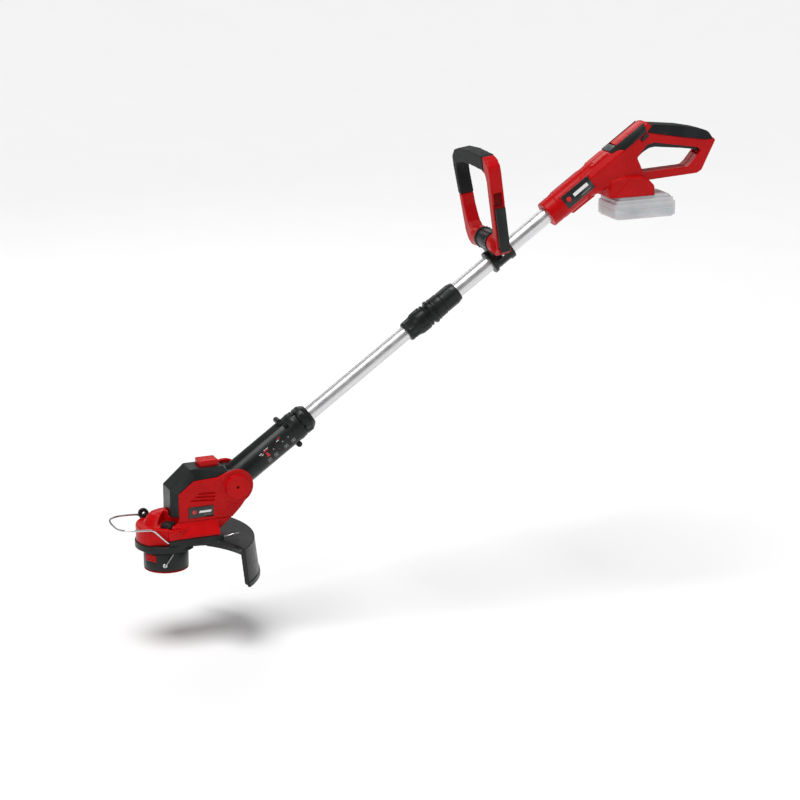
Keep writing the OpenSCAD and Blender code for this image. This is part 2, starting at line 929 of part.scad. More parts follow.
module guard() {
    color("dimgray")
        difference() {
            union() {
                difference() {
                    union() {
                        translate([0, 0, 40]) cylinder(r = 52, h = 12);
                        translate([0, 0, 44]) linear_extrude(8) deck_outline(0);
                    }
                    translate([0, 0, 39]) linear_extrude(10) deck_outline(2.6);
                }
                // Raised walls outside the arms of the wire guard
                both_sides()
                    translate([-8, -50.6, 49.6]) cube([95, 7.3, 11.9]);
                // Skirt
                rotate([0, 0, -guard_half_angle])
                    rotate_extrude(angle = 2 * guard_half_angle, $fn = 128)
                        polygon([[guard_r - 3, 51], [guard_r, 49], [guard_r + 6.5, -5],
                                 [guard_r + 8, -6], [guard_r + 9, -14], [guard_r + 4, -14],
                                 [guard_r - 3, 45]]);
                // Pad of the line cutter
                rotate([0, 0, -30])
                    slab(-9, 9)
                        polygon([[guard_r - 5.2, 6], [guard_r - 5.2, 36], [guard_r - 1, 36],
                                 [guard_r + 2.5, 6]]);
                // Turned-in flange at each end of the skirt
                for (side = [-1, 1])
                    rotate([0, 0, side * (guard_half_angle - 0.9)])
                        slab(-1.3, 1.3)
                            polygon([[guard_r - 9, 46], [guard_r - 1, 46], [guard_r + 6, -13],
                                     [guard_r - 2, -10]]);
            }
            // Arms of the wire guard
            both_sides()
                translate([-20, -48.4, 54.8]) cube([130, 5.4, 10]);
            translate([0, 0, 30]) cylinder(r = 9, h = 40);
        }
}

module line_cutter() {
    color("silver")
        rotate([0, 0, -30])
            translate([guard_r - 6.2, -7, 8]) cube([1, 14, 26]);
}

// Fastenings of the cutter and the pivot covers
module head_screws() {
    color("silver")
        rotate([0, 0, -30])
            for (z = [15, 28])
                translate([guard_r - 8, 0, z]) rotate([0, 90, 0]) cylinder(r = 2.6, h = 1.6);
}

// Lug on the far side that the wire guard snaps into for storage
module wire_clip() {
    color("dimgray")
        translate([-26, 43.4, 0])
            difference() {
                union() {
                    translate([-5.5, -9, 66]) cube([11, 9, 19]);
                    translate([0, 0, 86]) rotate([90, 0, 0]) cylinder(r = 9, h = 6);
                }
                translate([0, 1, 87]) rotate([90, 0, 0]) cylinder(r = 2.6, h = 12);
            }
}

module head_badges() {
    color("black")
        both_sides()
            slab(-half_head - 0.3, -half_head + 0.5) translate([31, 92]) square([44, 19]);
}

module tilt_button() {
    color("red")
        translate([59, -14, 167]) cube([33, 28, 16.5]);
}

module wire_button() {
    color("dimgray")
        translate([-3, -27, 77]) rotate(45) translate([-9.5, -9.5, 0]) cube([19, 19, 10.5]);
}

// Route of the wire guard, from its rear end on the near side to the front
wire_half = [[115, -46, 59.4], [107, -46, 59.4], [103, -46, 59], [98, -46, 57.6], [93, -46, 57],
             [80, -46, 57], [30, -46, 57], [-4, -46, 57], [-9, -46, 57.6], [-12, -46, 60],
             [-29, -46, 78], [-33, -46, 82], [-38, -45, 84], [-55, -44, 85], [-70, -42, 86],
             [-81, -37, 86], [-88, -29, 86], [-91, -20, 86], [-92, -8, 86]];

module wire_guard() {
    last = len(wire_half) - 1;
    far_side = [for (i = [last:-1:0]) [wire_half[i][0], -wire_half[i][1], wire_half[i][2]]];
    color("silver")
        swept_tube(concat(wire_half, far_side), 1.75, 10);
}

// ---------------------------------------------------------------------- spool

latch_angle = -150;

module spool_cover() {
    color("dimgray")
        difference() {
            rotate_extrude()
                polygon([[2.5, 29], [8, 29], [8, 32.5], [spool_r - 1.8, 32.5],
                         [spool_r - 1.8, 4.6], [spool_r, 4.6], [spool_r, 34],
                         [spool_r - 1.5, 36], [2.5, 36]]);
            for (a = [latch_angle, latch_angle + 180])
                rotate([0, 0, a])
                    translate([spool_r - 4, -11.5, 20]) cube([8, 23, 12.4]);
            // Line outlet
            rotate([0, 0, line_angle])
                translate([spool_r - 6, 0, 15]) rotate([0, 90, 0]) cylinder(r = 2, h = 12);
        }
}

module spool_latch() {
    translate([spool_r - 2.4, -11.2, 20.3]) cube([2.2, 22.4, 11.8]);
    for (i = [0:2])
        translate([spool_r - 0.4, -9.5, 21.2 + i * 3.8]) cube([1.2, 19, 2.2]);
}

module spool_latch_near() {
    color("red") rotate([0, 0, latch_angle]) spool_latch();
}

module spool_latch_far() {
    color("red") rotate([0, 0, latch_angle + 180]) spool_latch();
}

line_angle = -110;

module eyelet() {
    color("silver")
        rotate([0, 0, line_angle])
            translate([0, 0, 15])
                rotate([0, 90, 0])
                    rotate_extrude()
                        polygon([[1, spool_r - 1.6], [2, spool_r - 1.6], [2, spool_r],
                                 [3.6, spool_r], [3.6, spool_r + 0.9], [2.6, spool_r + 1.4],
                                 [1, spool_r + 1]]);
}

// Free end of the cutting line, out of the eyelet and up beside the cover
line_route = [[-12, -32, 15], [-12.5, -34, 15], [-13, -36, 15], [-13.5, -38, 15],
              [-13.5, -39.5, 15.5], [-13, -41, 16.5], [-12.5, -42, 18], [-11.5, -42.8, 20],
              [-10.5, -43.2, 22], [-9, -43.5, 24], [-7.5, -43.6, 26], [-6, -43.6, 28],
              [-4.5, -43.5, 30], [-3, -43.4, 32], [-1.5, -43.2, 34], [0, -43, 36]];
line_d = 1.6;

module trimmer_line() {
    color("white") swept_tube(line_route, line_d / 2, 8);
}

module bump_cap() {
    color("red")
        difference() {
            rotate_extrude()
                polygon([[0, 0], [22, 0], [24, 0.8], [33, 1], [spool_r - 0.4, 1.2],
                         [spool_r - 0.4, 2.4], [spool_r - 2.2, 2.6], [spool_r - 2.2, 6],
                         [7, 6], [7, 19.2], [0, 19.2]]);
            translate([0, 0, 6.5]) cylinder(r = 3, h = 30);
        }
}

spring_turns = 4;

module bump_spring() {
    steps = spring_turns * 12;
    color("silver")
        swept_tube([for (i = [0:steps])
                       [5 * cos(30 * i), 5 * sin(30 * i), 19.8 + 8.6 * i / steps]], 0.5, 6);
}

module line_reel() {
    color("black")
        rotate_extrude()
            polygon([[7 + fit_gap, 6.2], [33, 6.2], [33, 7.8], [16, 7.8], [16, 17.4],
                     [33, 17.4], [33, 19], [7 + fit_gap, 19]]);
}

module line_coil() {
    color("white") ring(29, 16, 7.8, 17.4);
}

housing_near();
housing_far();
top_cap();
trim_band();
grip_rubber();
handle_badges();
housing_screws();
control_board();
trigger_switch();
contact_block();
handle_cable();
upper_tube();
clamp_sleeve();
trigger();
lock_button();
battery_case();
battery_lid();
battery_cells();
battery_latch();
clamp_nut();
aux_clamp_upper();
aux_clamp_lower();
aux_clamp_screws();
ratchet_discs();
aux_loop();
aux_rubber();
aux_bolt();
aux_lever();
lower_tube();
tube_bush();
coiled_cable();
lock_collar();
neck_near();
neck_far();
neck_screws();
head_base();
head_shell_near();
head_shell_far();
motor_cap();
pivot_bolt();
motor_can();
guard();
line_cutter();
head_screws();
wire_clip();
head_badges();
tilt_button();
wire_button();
wire_guard();
rotor();
spool_cover();
eyelet();
trimmer_line();
spool_latch_near();
spool_latch_far();
bump_cap();
bump_spring();
line_reel();
line_coil();
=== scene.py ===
"""Looks of a battery string trimmer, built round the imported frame.

Lengths in the shape code are millimetres in the row frame and become metres in finish_mesh().
"""

import json
from math import cos, pi, radians, sin

import bmesh
import bpy
from mathutils import Matrix, Vector


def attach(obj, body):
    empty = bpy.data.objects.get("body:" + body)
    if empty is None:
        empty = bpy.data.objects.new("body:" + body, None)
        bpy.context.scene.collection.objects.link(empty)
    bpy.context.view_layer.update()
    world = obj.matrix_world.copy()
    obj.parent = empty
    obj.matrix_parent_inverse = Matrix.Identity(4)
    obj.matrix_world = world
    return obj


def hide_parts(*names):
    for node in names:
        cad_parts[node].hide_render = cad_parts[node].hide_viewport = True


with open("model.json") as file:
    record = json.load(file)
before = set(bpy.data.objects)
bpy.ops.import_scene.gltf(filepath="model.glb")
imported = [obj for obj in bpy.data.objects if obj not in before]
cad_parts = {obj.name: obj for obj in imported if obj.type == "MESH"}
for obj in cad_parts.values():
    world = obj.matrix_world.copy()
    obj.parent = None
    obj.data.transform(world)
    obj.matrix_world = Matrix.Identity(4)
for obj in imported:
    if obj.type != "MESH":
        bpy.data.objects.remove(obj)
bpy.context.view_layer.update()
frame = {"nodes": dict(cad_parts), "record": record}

MM = 0.001
WHITE = (1, 1, 1, 1)
NECK_R = 25
# How far a printed patch starts under its surface and ends above it
PATCH_SUNK = 0.4
PATCH_RISE = 0.22
# Outer radius of every groove cutter on the shaft's round pieces
GROOVE_OUT = 30

# ---------------------------------------------------------------- shared places

SHAFT_SLOPE = radians(35)
PIVOT = Vector((116, 0, 139))
UP_SHAFT = Vector((cos(SHAFT_SLOPE), 0, sin(SHAFT_SLOPE)))
OFF_SHAFT = Vector((-sin(SHAFT_SLOPE), 0, cos(SHAFT_SLOPE)))
NEAR = Vector((0, -1, 0))
# Local +X is above the shaft, +Y is near, +Z runs up the shaft
SHAFT = Matrix.Translation(PIVOT) @ Matrix((OFF_SHAFT, NEAR, UP_SHAFT)).transposed().to_4x4()


def on_axis(s, v=0):
    """X and Z of the point s up the shaft from the head pivot and v above its axis."""
    place = PIVOT + s * UP_SHAFT + v * OFF_SHAFT
    return (place.x, place.z)


HUB_X, HUB_Z = on_axis(609, 34)
AUX_LEAN = radians(8)
# Local +Z runs up the auxiliary handle, +X is the user's side
HUB = Matrix.Translation((HUB_X, 0, HUB_Z)) @ Matrix.Rotation(-AUX_LEAN, 4, "Y")

# ------------------------------------------------------------------ camera, stage

CAMERA_PLACE = Vector((-1.1315, -3.7651, 1.4150))
CAMERA_LOOKS = Vector((0.3679, 0.8881, -0.2756))
LENS_MM = 110.25
SENSOR_MM = 36
FLOOR_Z = -0.13
FLOOR_HALF = 30
AMBIENT = 0.26
SUN_TOWARDS = (0.14, 0.12, -1)
SUN_ENERGY = 2.45
SUN_SPREAD = 32


def make_camera():
    data = bpy.data.cameras.new("camera")
    data.lens = LENS_MM
    data.sensor_width = SENSOR_MM
    data.clip_end = 60
    camera = bpy.data.objects.new("camera", data)
    camera.location = CAMERA_PLACE
    camera.rotation_euler = CAMERA_LOOKS.to_track_quat("-Z", "Y").to_euler()
    bpy.context.scene.collection.objects.link(camera)
    bpy.context.scene.camera = camera


def area_light(name, place, aim, size, watts):
    data = bpy.data.lights.new(name, "AREA")
    data.shape = "RECTANGLE"
    data.size, data.size_y = size
    data.energy = watts
    light = bpy.data.objects.new(name, data)
    light.location = place
    light.rotation_euler = (Vector(aim) - Vector(place)).to_track_quat("-Z", "Y").to_euler()
    bpy.context.scene.collection.objects.link(light)


def make_world():
    """White behind the object, and a weaker white light all round."""
    world = bpy.data.worlds.new("studio")
    world.use_nodes = True
    nodes, links = world.node_tree.nodes, world.node_tree.links
    ambient = nodes["Background"]
    ambient.inputs["Color"].default_value = WHITE
    ambient.inputs["Strength"].default_value = AMBIENT
    seen = nodes.new("ShaderNodeBackground")
    seen.inputs["Color"].default_value = WHITE
    seen.inputs["Strength"].default_value = 1.0
    mix = nodes.new("ShaderNodeMixShader")
    links.new(nodes.new("ShaderNodeLightPath").outputs["Is Camera Ray"], mix.inputs[0])
    links.new(ambient.outputs[0], mix.inputs[1])
    links.new(seen.outputs[0], mix.inputs[2])
    links.new(mix.outputs[0], nodes["World Output"].inputs["Surface"])
    bpy.context.scene.world = world


def sun_light():
    """Wide soft light from above, which gives the shadow under the head."""
    data = bpy.data.lights.new("sun", "SUN")
    data.energy = SUN_ENERGY
    data.angle = radians(SUN_SPREAD)
    light = bpy.data.objects.new("sun", data)
    light.rotation_euler = Vector(SUN_TOWARDS).to_track_quat("-Z", "Y").to_euler()
    bpy.context.scene.collection.objects.link(light)


def make_stage():
    make_world()
    sun_light()
    area_light("key_left", (-2.6, -2.2, 2.0), (0.3, 0, 0.25), (1.2, 1.2), 22)
    area_light("fill_right", (2.2, -2.8, 1.0), (0.7, 0, 0.4), (0.8, 1.6), 5)
    area_light("rim_back", (0.6, 2.6, 2.0), (0.5, 0, 0.4), (2.2, 0.8), 12)
    bm = bmesh.new()
    corners = [(-FLOOR_HALF, -FLOOR_HALF), (FLOOR_HALF, -FLOOR_HALF), (FLOOR_HALF, FLOOR_HALF),
               (-FLOOR_HALF, FLOOR_HALF)]
    bm.faces.new([bm.verts.new((x, y, FLOOR_Z)) for x, y in corners])
    mesh = bpy.data.meshes.new("floor")
    bm.to_mesh(mesh)
    bm.free()
    floor = bpy.data.objects.new("floor", mesh)
    bpy.context.scene.collection.objects.link(floor)
    floor.data.materials.append(floor_finish())
    scene = bpy.context.scene
    scene.view_settings.view_transform = "Standard"
    scene.view_settings.look = "None"
    scene.view_settings.exposure = 0.0


# ---------------------------------------------------------------------- materials


class Shader:
    """A material's node tree, with short names for the nodes that the finishes share."""

    def __init__(self, name):
        self.material = bpy.data.materials.new(name)
        self.material.use_nodes = True
        self.nodes = self.material.node_tree.nodes
        self.links = self.material.node_tree.links
        self.surface = self.nodes["Principled BSDF"]
        self.place = self.nodes.new("ShaderNodeTexCoord").outputs["Object"]

    def constant(self, **values):
        for key, value in values.items():
            self.surface.inputs[key.replace("_", " ")].default_value = value

    def mapped(self, turn=(0, 0, 0), grain=(1, 1, 1)):
        """Place turned back by an angle about each axis, then divided by the grain's size."""
        node = self.nodes.new("ShaderNodeMapping")
        node.vector_type = "TEXTURE"
        node.inputs["Rotation"].default_value = turn
        node.inputs["Scale"].default_value = grain
        self.links.new(self.place, node.inputs["Vector"])
        return node.outputs["Vector"]

    def noise(self, scale, detail=3.0, vector=None):
        node = self.nodes.new("ShaderNodeTexNoise")
        node.inputs["Scale"].default_value = scale
        node.inputs["Detail"].default_value = detail
        self.links.new(vector or self.place, node.inputs["Vector"])
        return node.outputs["Fac"]

    def cells(self, scale, vector=None):
        node = self.nodes.new("ShaderNodeTexVoronoi")
        node.inputs["Scale"].default_value = scale
        self.links.new(vector or self.place, node.inputs["Vector"])
        return node.outputs["Distance"]

    def span(self, value, low, high, start=0.35, end=0.65):
        node = self.nodes.new("ShaderNodeMapRange")
        node.inputs["From Min"].default_value = start
        node.inputs["From Max"].default_value = end
        node.inputs["To Min"].default_value = low
        node.inputs["To Max"].default_value = high
        self.links.new(value, node.inputs["Value"])
        return node.outputs["Result"]

    def tint(self, factor, dark, light):
        node = self.nodes.new("ShaderNodeMix")
        node.data_type = "RGBA"
        node.inputs["A"].default_value = (*dark, 1)
        node.inputs["B"].default_value = (*light, 1)
        self.links.new(factor, node.inputs["Factor"])
        return node.outputs["Result"]

    def worn_edges(self, colour, pale, amount=0.35):
        """Pale handling wear where the surface is sharply convex."""
        edge = self.nodes.new("ShaderNodeNewGeometry").outputs["Pointiness"]
        node = self.nodes.new("ShaderNodeMix")
        node.data_type = "RGBA"
        node.inputs["B"].default_value = (*pale, 1)
        self.links.new(self.span(edge, 0.0, amount, 0.53, 0.62), node.inputs["Factor"])
        self.links.new(colour, node.inputs["A"])
        return node.outputs["Result"]

    def to(self, socket, value):
        self.links.new(value, self.surface.inputs[socket])

    def bump(self, height, strength, distance):
        node = self.nodes.new("ShaderNodeBump")
        node.inputs["Strength"].default_value = strength
        node.inputs["Distance"].default_value = distance
        self.links.new(height, node.inputs["Height"])
        self.links.new(node.outputs["Normal"], self.surface.inputs["Normal"])


def moulded_finish(name, dark, light, pale, rough, coat, grain, depth, gloss=0.2):
    """Injection-moulded plastic: slight shade drift, fine spark-eroded grain, worn edges."""
    shader = Shader(name)
    shade = shader.tint(shader.span(shader.noise(28, 4), 0, 1), dark, light)
    shader.to("Base Color", shader.worn_edges(shade, pale))
    shader.to("Roughness", shader.span(shader.noise(90, 5), rough[0], rough[1], 0.3, 0.7))
    shader.constant(Coat_Weight=coat, Coat_Roughness=0.2, Specular_IOR_Level=gloss)
    shader.bump(shader.noise(grain, 2), 0.35, depth)
    return shader.material


def rubber_finish():
    """Soft overmoulding with a close pattern of small pits."""
    shader = Shader("soft_grip")
    drift = shader.span(shader.noise(35, 4), 0, 1)
    shade = shader.tint(drift, (0.009, 0.010, 0.011), (0.017, 0.018, 0.019))
    shader.to("Base Color", shader.worn_edges(shade, (0.045, 0.045, 0.047)))
    shader.to("Roughness", shader.span(shader.noise(160, 4), 0.55, 0.72, 0.3, 0.7))
    shader.constant(Sheen_Weight=0.05, Sheen_Roughness=0.5, Specular_IOR_Level=0.15)
    shader.bump(shader.cells(900), 0.5, 0.0002)
    return shader.material


def tube_finish():
    """Satin anodised aluminium, brushed along the tube."""
    shader = Shader("tube_metal")
    along = shader.mapped(turn=(0, -SHAFT_SLOPE, 0), grain=(0.25, 0.0012, 0.0012))
    streaks = shader.noise(1.0, 4, along)
    shade = shader.tint(shader.span(streaks, 0, 1), (0.6, 0.6, 0.61), (0.8, 0.8, 0.81))
    shader.to("Base Color", shade)
    shader.to("Roughness", shader.span(shader.noise(60, 4), 0.3, 0.42, 0.3, 0.7))
    shader.constant(Metallic=1.0)
    shader.bump(streaks, 0.12, 0.00008)
    return shader.material


def steel_finish(name, rough, grain=(0.0012, 0.0012, 0.016), dark=(0.48, 0.48, 0.49),
                 light=(0.72, 0.72, 0.73)):
    """Drawn or turned steel with fine draw marks."""
    shader = Shader(name)
    marks = shader.noise(1.0, 3, shader.mapped(grain=grain))
    shader.to("Base Color", shader.tint(shader.span(marks, 0, 1), dark, light))
    shader.to("Roughness", shader.span(shader.noise(220, 3), rough, rough + 0.12, 0.3, 0.7))
    shader.constant(Metallic=1.0)
    shader.bump(marks, 0.08, 0.00005)
    return shader.material


def battery_finish():
    """Pale frosted shell with faint cloudiness."""
    shader = Shader("battery_shell")
    cloud = shader.span(shader.noise(22, 5), 0, 1)
    shader.to("Base Color", shader.tint(cloud, (0.62, 0.63, 0.65), (0.74, 0.75, 0.77)))
    shader.to("Roughness", shader.span(shader.noise(120, 4), 0.3, 0.44, 0.3, 0.7))
    shader.constant(Subsurface_Weight=0.3, Subsurface_Scale=0.006, Alpha=0.72)
    shader.bump(shader.noise(1500, 2), 0.2, 0.00006)
    return shader.material


def print_finish(name, dark, light):
    """Pad-printed or inlaid mark."""
    shader = Shader(name)
    shader.to("Base Color", shader.tint(shader.span(shader.noise(600, 4), 0, 1), dark, light))
    shader.to("Roughness", shader.span(shader.noise(300, 3), 0.3, 0.45, 0.3, 0.7))
    return shader.material


def nylon_finish():
    """Slightly milky extruded line."""
    shader = Shader("line_nylon")
    shade = shader.tint(shader.noise(500, 2), (0.42, 0.42, 0.41), (0.55, 0.55, 0.54))
    shader.to("Base Color", shade)
    shader.to("Roughness", shader.span(shader.noise(900, 2), 0.22, 0.34, 0.3, 0.7))
    shader.constant(Transmission_Weight=0.2)
    return shader.material


def board_finish():
    """Lacquered board with a faint pattern of tracks."""
    shader = Shader("circuit_board")
    tracks = shader.span(shader.cells(260), 0, 1, 0.2, 0.5)
    shader.to("Base Color", shader.tint(tracks, (0.01, 0.12, 0.05), (0.03, 0.25, 0.1)))
    shader.to("Roughness", shader.span(shader.noise(200, 2), 0.25, 0.4, 0.3, 0.7))
    return shader.material


def floor_finish():
    """Matt white studio paper."""
    shader = Shader("studio_floor")
    shade = shader.tint(shader.noise(2.0, 2), (0.9, 0.9, 0.9), (0.915, 0.915, 0.915))
    shader.to("Base Color", shade)
    shader.to("Roughness", shader.span(shader.noise(8, 2), 0.75, 0.85, 0.3, 0.7))
    return shader.material


RED = moulded_finish("red_plastic", (0.46, 0.001, 0.002), (0.53, 0.002, 0.004), (0.75, 0.03, 0.025),
                     (0.26, 0.36), 0.0, 1800, 0.00005, 0.14)
# Painted shade: a darker red for the sheet on the aux handle's recess floor, standing in for the shade
# that falls in the pocket
RECESS_SHADE_RED = moulded_finish("painted_shade_red", (0.10, 0.001, 0.001), (0.14, 0.001, 0.002), (0.3, 0.01, 0.01),
                          (0.4, 0.5), 0.0, 1800, 0.00005, 0.08)
BLACK = moulded_finish("black_plastic", (0.006, 0.0075, 0.0075), (0.012, 0.014, 0.0135),
                       (0.06, 0.065, 0.065), (0.28, 0.40), 0.0, 1500, 0.00008, 0.26)
SOFT = rubber_finish()
TUBE = tube_finish()
STEEL = steel_finish("steel", 0.2)
DARK_STEEL = steel_finish("dark_steel", 0.35, dark=(0.02, 0.02, 0.022), light=(0.04, 0.04, 0.043))
WIRE = steel_finish("wire_steel", 0.12, (0.011, 0.0011, 0.0011))
BATTERY = battery_finish()
BADGE = moulded_finish("badge", (0.008, 0.008, 0.01), (0.014, 0.014, 0.016), (0.05, 0.05, 0.05),
                       (0.12, 0.2), 0.6, 900, 0.00002)
MARK_RED = print_finish("mark_red", (0.55, 0.01, 0.012), (0.65, 0.015, 0.02))
MARK_WHITE = print_finish("mark_white", (0.72, 0.72, 0.72), (0.85, 0.85, 0.85))
MARK_GREY = print_finish("mark_grey", (0.2, 0.2, 0.2), (0.3, 0.3, 0.3))
NYLON = nylon_finish()
BOARD = board_finish()
CELL_WRAP = moulded_finish("cell_wrap", (0.05, 0.14, 0.32), (0.07, 0.18, 0.4), (0.2, 0.3, 0.5),
                           (0.2, 0.3), 0.3, 700, 0.00004)
JACKET = moulded_finish("cable_jacket", (0.012, 0.012, 0.012), (0.02, 0.02, 0.02),
                        (0.05, 0.05, 0.05), (0.5, 0.62), 0.0, 1200, 0.00008)

SLOT_FINISH = {
    "red_plastic": RED, "black_plastic": BLACK, "soft_grip": SOFT, "tube_metal": TUBE,
    "steel": STEEL, "badge": BADGE, "battery_shell": BATTERY, "circuit_board": BOARD,
    "cell_wrap": CELL_WRAP, "cable_jacket": JACKET, "line_nylon": NYLON,
}
NODE_SLOT = {part["node"]: part["material_slot"] for part in frame["record"]["subparts"]}
BODY_NODES = frame["record"]["behaviour"]["bodies"]
NODE_BODY = {node: body for body, nodes in BODY_NODES.items() for node in nodes}


def paint_cad_nodes():
    for node, obj in frame["nodes"].items():
        obj.data.materials.clear()
        obj.data.materials.append(SLOT_FINISH[NODE_SLOT[node]])


# ------------------------------------------------------------------- mesh helpers


def new_object(bm, name):
    bmesh.ops.recalc_face_normals(bm, faces=bm.faces)
    mesh = bpy.data.meshes.new(name)
    bm.to_mesh(mesh)
    bm.free()
    obj = bpy.data.objects.new(name, mesh)
    bpy.context.scene.collection.objects.link(obj)
    return obj


def between(low, high, place, name):
    """Solid between two outlines with the same number of points."""
    bm = bmesh.new()
    low, high = [[bm.verts.new(point) for point in outline] for outline in (low, high)]
    bm.faces.new(low)
    bm.faces.new(list(reversed(high)))
    for i in range(len(low)):
        j = (i + 1) % len(low)
        bm.faces.new((low[i], high[i], high[j], low[j]))
    if place:
        bm.transform(place)
    return new_object(bm, name)


def prism(outline, y0, y1):
    """Solid with a flat XZ outline, from y0 to y1."""
    return between([(x, y0, z) for x, z in outline], [(x, y1, z) for x, z in outline], None, "prism")


def block(low, high, place=None):
    """Solid with square corners between two opposite corners."""
    (x0, y0, z0), (x1, y1, z1) = low, high
    base = [(x0, y0), (x1, y0), (x1, y1), (x0, y1)]
    return between([(x, y, z0) for x, y in base], [(x, y, z1) for x, y in base], place, "block")


def lathe(profile, place=None, sides=96):
    """Closed profile of (radius, z) points turned about +Z."""
    bm = bmesh.new()
    rings = []
    for r, z in profile:
        if r < 1e-6:
            rings.append([bm.verts.new((0, 0, z))])
        else:
            rings.append([bm.verts.new((r * cos(2 * pi * k / sides), r * sin(2 * pi * k / sides), z))
                          for k in range(sides)])
    for a, b in zip(rings, rings[1:] + rings[:1]):
        if len(a) == 1 and len(b) == 1:
            continue
        for k in range(sides):
            n = (k + 1) % sides
            if len(a) == 1:
                bm.faces.new((a[0], b[k], b[n]))
            elif len(b) == 1:
                bm.faces.new((a[k], a[n], b[0]))
            else:
                bm.faces.new((a[k], a[n], b[n], b[k]))
    if place:
        bm.transform(place)
    return new_object(bm, "lathe")


def rod(start, end, r, sides=32):
    """Round bar between two points."""
    start, end = Vector(start), Vector(end)
    turn = (end - start).to_track_quat("Z", "Y").to_matrix().to_4x4()
    length = (end - start).length
    return lathe([(0, 0), (r, 0), (r, length), (0, length)], Matrix.Translation(start) @ turn, sides)


def cad_copy(node):
    """The CAD node's own mesh as a closed copy in millimetres."""
    bm = bmesh.new()
    bm.from_mesh(frame["nodes"][node].data)
    bmesh.ops.scale(bm, vec=(1 / MM, 1 / MM, 1 / MM), verts=bm.verts)
    bmesh.ops.remove_doubles(bm, verts=bm.verts, dist=0.002)
    bmesh.ops.dissolve_limit(bm, angle_limit=radians(0.6), verts=bm.verts, edges=bm.edges)
    return new_object(bm, node + "_copy")


def apply_modifiers(obj):
    graph = bpy.context.evaluated_depsgraph_get()
    mesh = bpy.data.meshes.new_from_object(obj.evaluated_get(graph))
    obj.modifiers.clear()
    obj.data = mesh


def carve(obj, add=(), cut=()):
    """Unions and differences with other solids, which are used up."""
    for part, operation in [(p, "UNION") for p in add] + [(p, "DIFFERENCE") for p in cut]:
        modifier = obj.modifiers.new("carve", "BOOLEAN")
        modifier.object = part
        modifier.operation = operation
        modifier.solver = "EXACT"
    apply_modifiers(obj)
    for part in [*add, *cut]:
        bpy.data.objects.remove(part)
    return obj


def soften(obj, voxel=0.9, rounds=8):
    """Round every edge of a moulded shape: fine remesh, then relax."""
    remesh = obj.modifiers.new("remesh", "REMESH")
    remesh.mode = "VOXEL"
    remesh.voxel_size = voxel
    relax = obj.modifiers.new("relax", "SMOOTH")
    relax.factor = 0.5
    relax.iterations = rounds
    apply_modifiers(obj)
    return obj


def edge_round(obj, width=0.6, segments=3, angle=28):
    """Small round on every hard edge of a machined or sharp-moulded shape."""
    bevel = obj.modifiers.new("bevel", "BEVEL")
    bevel.width = width
    bevel.segments = segments
    bevel.limit_method = "ANGLE"
    bevel.angle_limit = radians(angle)
    bevel.miter_outer = "MITER_ARC"
    apply_modifiers(obj)
    return obj


def finish_mesh(obj, name, body, material, crease=40, replaces=()):
    """Metres, shading, finish and the body it rides on."""
    obj.data.transform(Matrix.Scale(MM, 4))
    obj.name = name
    obj.data.name = name
    obj.data.materials.clear()
    obj.data.materials.append(material)
    for polygon in obj.data.polygons:
        polygon.use_smooth = True
    obj.data.set_sharp_from_angle(angle=radians(crease))
    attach(obj, body)
    if replaces:
        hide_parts(*replaces)
    return obj


def stand_for(node, obj, material=None, crease=40):
    """Finish obj as the looks of one CAD node."""
    slot = NODE_SLOT[node]
    return finish_mesh(obj, node + "_look", NODE_BODY[node], material or SLOT_FINISH[slot],
                       crease, [node])


def rounded_nodes(rows):
    """CAD nodes whose looks only need their edges rounded: node, width, segments."""
    for node, width, segments in rows:
        stand_for(node, edge_round(cad_copy(node), width, segments))


def softened_nodes(rows):
    """CAD nodes whose looks are softened all over: node, voxel, rounds."""
    for node, voxel, rounds in rows:
        stand_for(node, soften(cad_copy(node), voxel, rounds), crease=60)


def joined(parts):
    """Several meshes as one object; the parts are used up."""
    bm = bmesh.new()
    for part in parts:
        bm.from_mesh(part.data)
        bpy.data.objects.remove(part)
    return new_object(bm, "joined")


def smoothed(points, rounds=2):
    """Corners of an open route cut off; both ends stay where they are."""
    points = [Vector(p) for p in points]
    for _ in range(rounds):
        cut = [points[0]]
        for a, b in zip(points, points[1:]):
            cut += [a.lerp(b, 0.25), a.lerp(b, 0.75)]
        points = cut + [points[-1]]
    return points


def tube_along(points, r, sides=20):
    """Closed round tube along a route, carried along without twist."""
    bm = bmesh.new()
    last = len(points) - 1
    rings = []
    across = None
    for i, place in enumerate(points):
        ahead = (points[min(i + 1, last)] - points[max(i - 1, 0)]).normalized()
        across = across or ahead.orthogonal()
        across = (across - across.dot(ahead) * ahead).normalized()
        other = ahead.cross(across)
        turns = [2 * pi * k / sides for k in range(sides)]
        rings.append([bm.verts.new(place + r * (cos(a) * across + sin(a) * other)) for a in turns])
    for a, b in zip(rings, rings[1:]):
        for k in range(sides):
            n = (k + 1) % sides
            bm.faces.new((a[k], a[n], b[n], b[k]))
    bm.faces.new(list(reversed(rings[0])))
    bm.faces.new(rings[-1])
    return new_object(bm, "tube")


def grooves(count, r, half_width, s0, s1, start=0.0):
    """Cutters for grooves round the shaft, from radius r outwards and from s0 to s1 along it."""
    turns = [radians(start) + 2 * pi * k / count for k in range(count)]
    return [block((r, -half_width, s0), (GROOVE_OUT, half_width, s1),
                  SHAFT @ Matrix.Rotation(turn, 4, "Z")) for turn in turns]


def patch(s0, s1, a0, a1):
    """Thin printed patch on the neck, from s0 to s1 up the shaft and a0 to a1 round it.

    The arc is measured up from the near side.
    """
    outline = [(s0, a0), (s1, a0), (s1, a1), (s0, a1)]
    low, high = [[(d * sin(a / NECK_R), d * cos(a / NECK_R), s) for s, a in outline]
                 for d in (NECK_R - PATCH_SUNK, NECK_R + PATCH_RISE)]
    return between(low, high, SHAFT, "patch")


def disc(x, z, r, y0, y1):
    """Round plate lying in the XZ plane."""
    return rod((x, y0, z), (x, y1, z), r, 40)


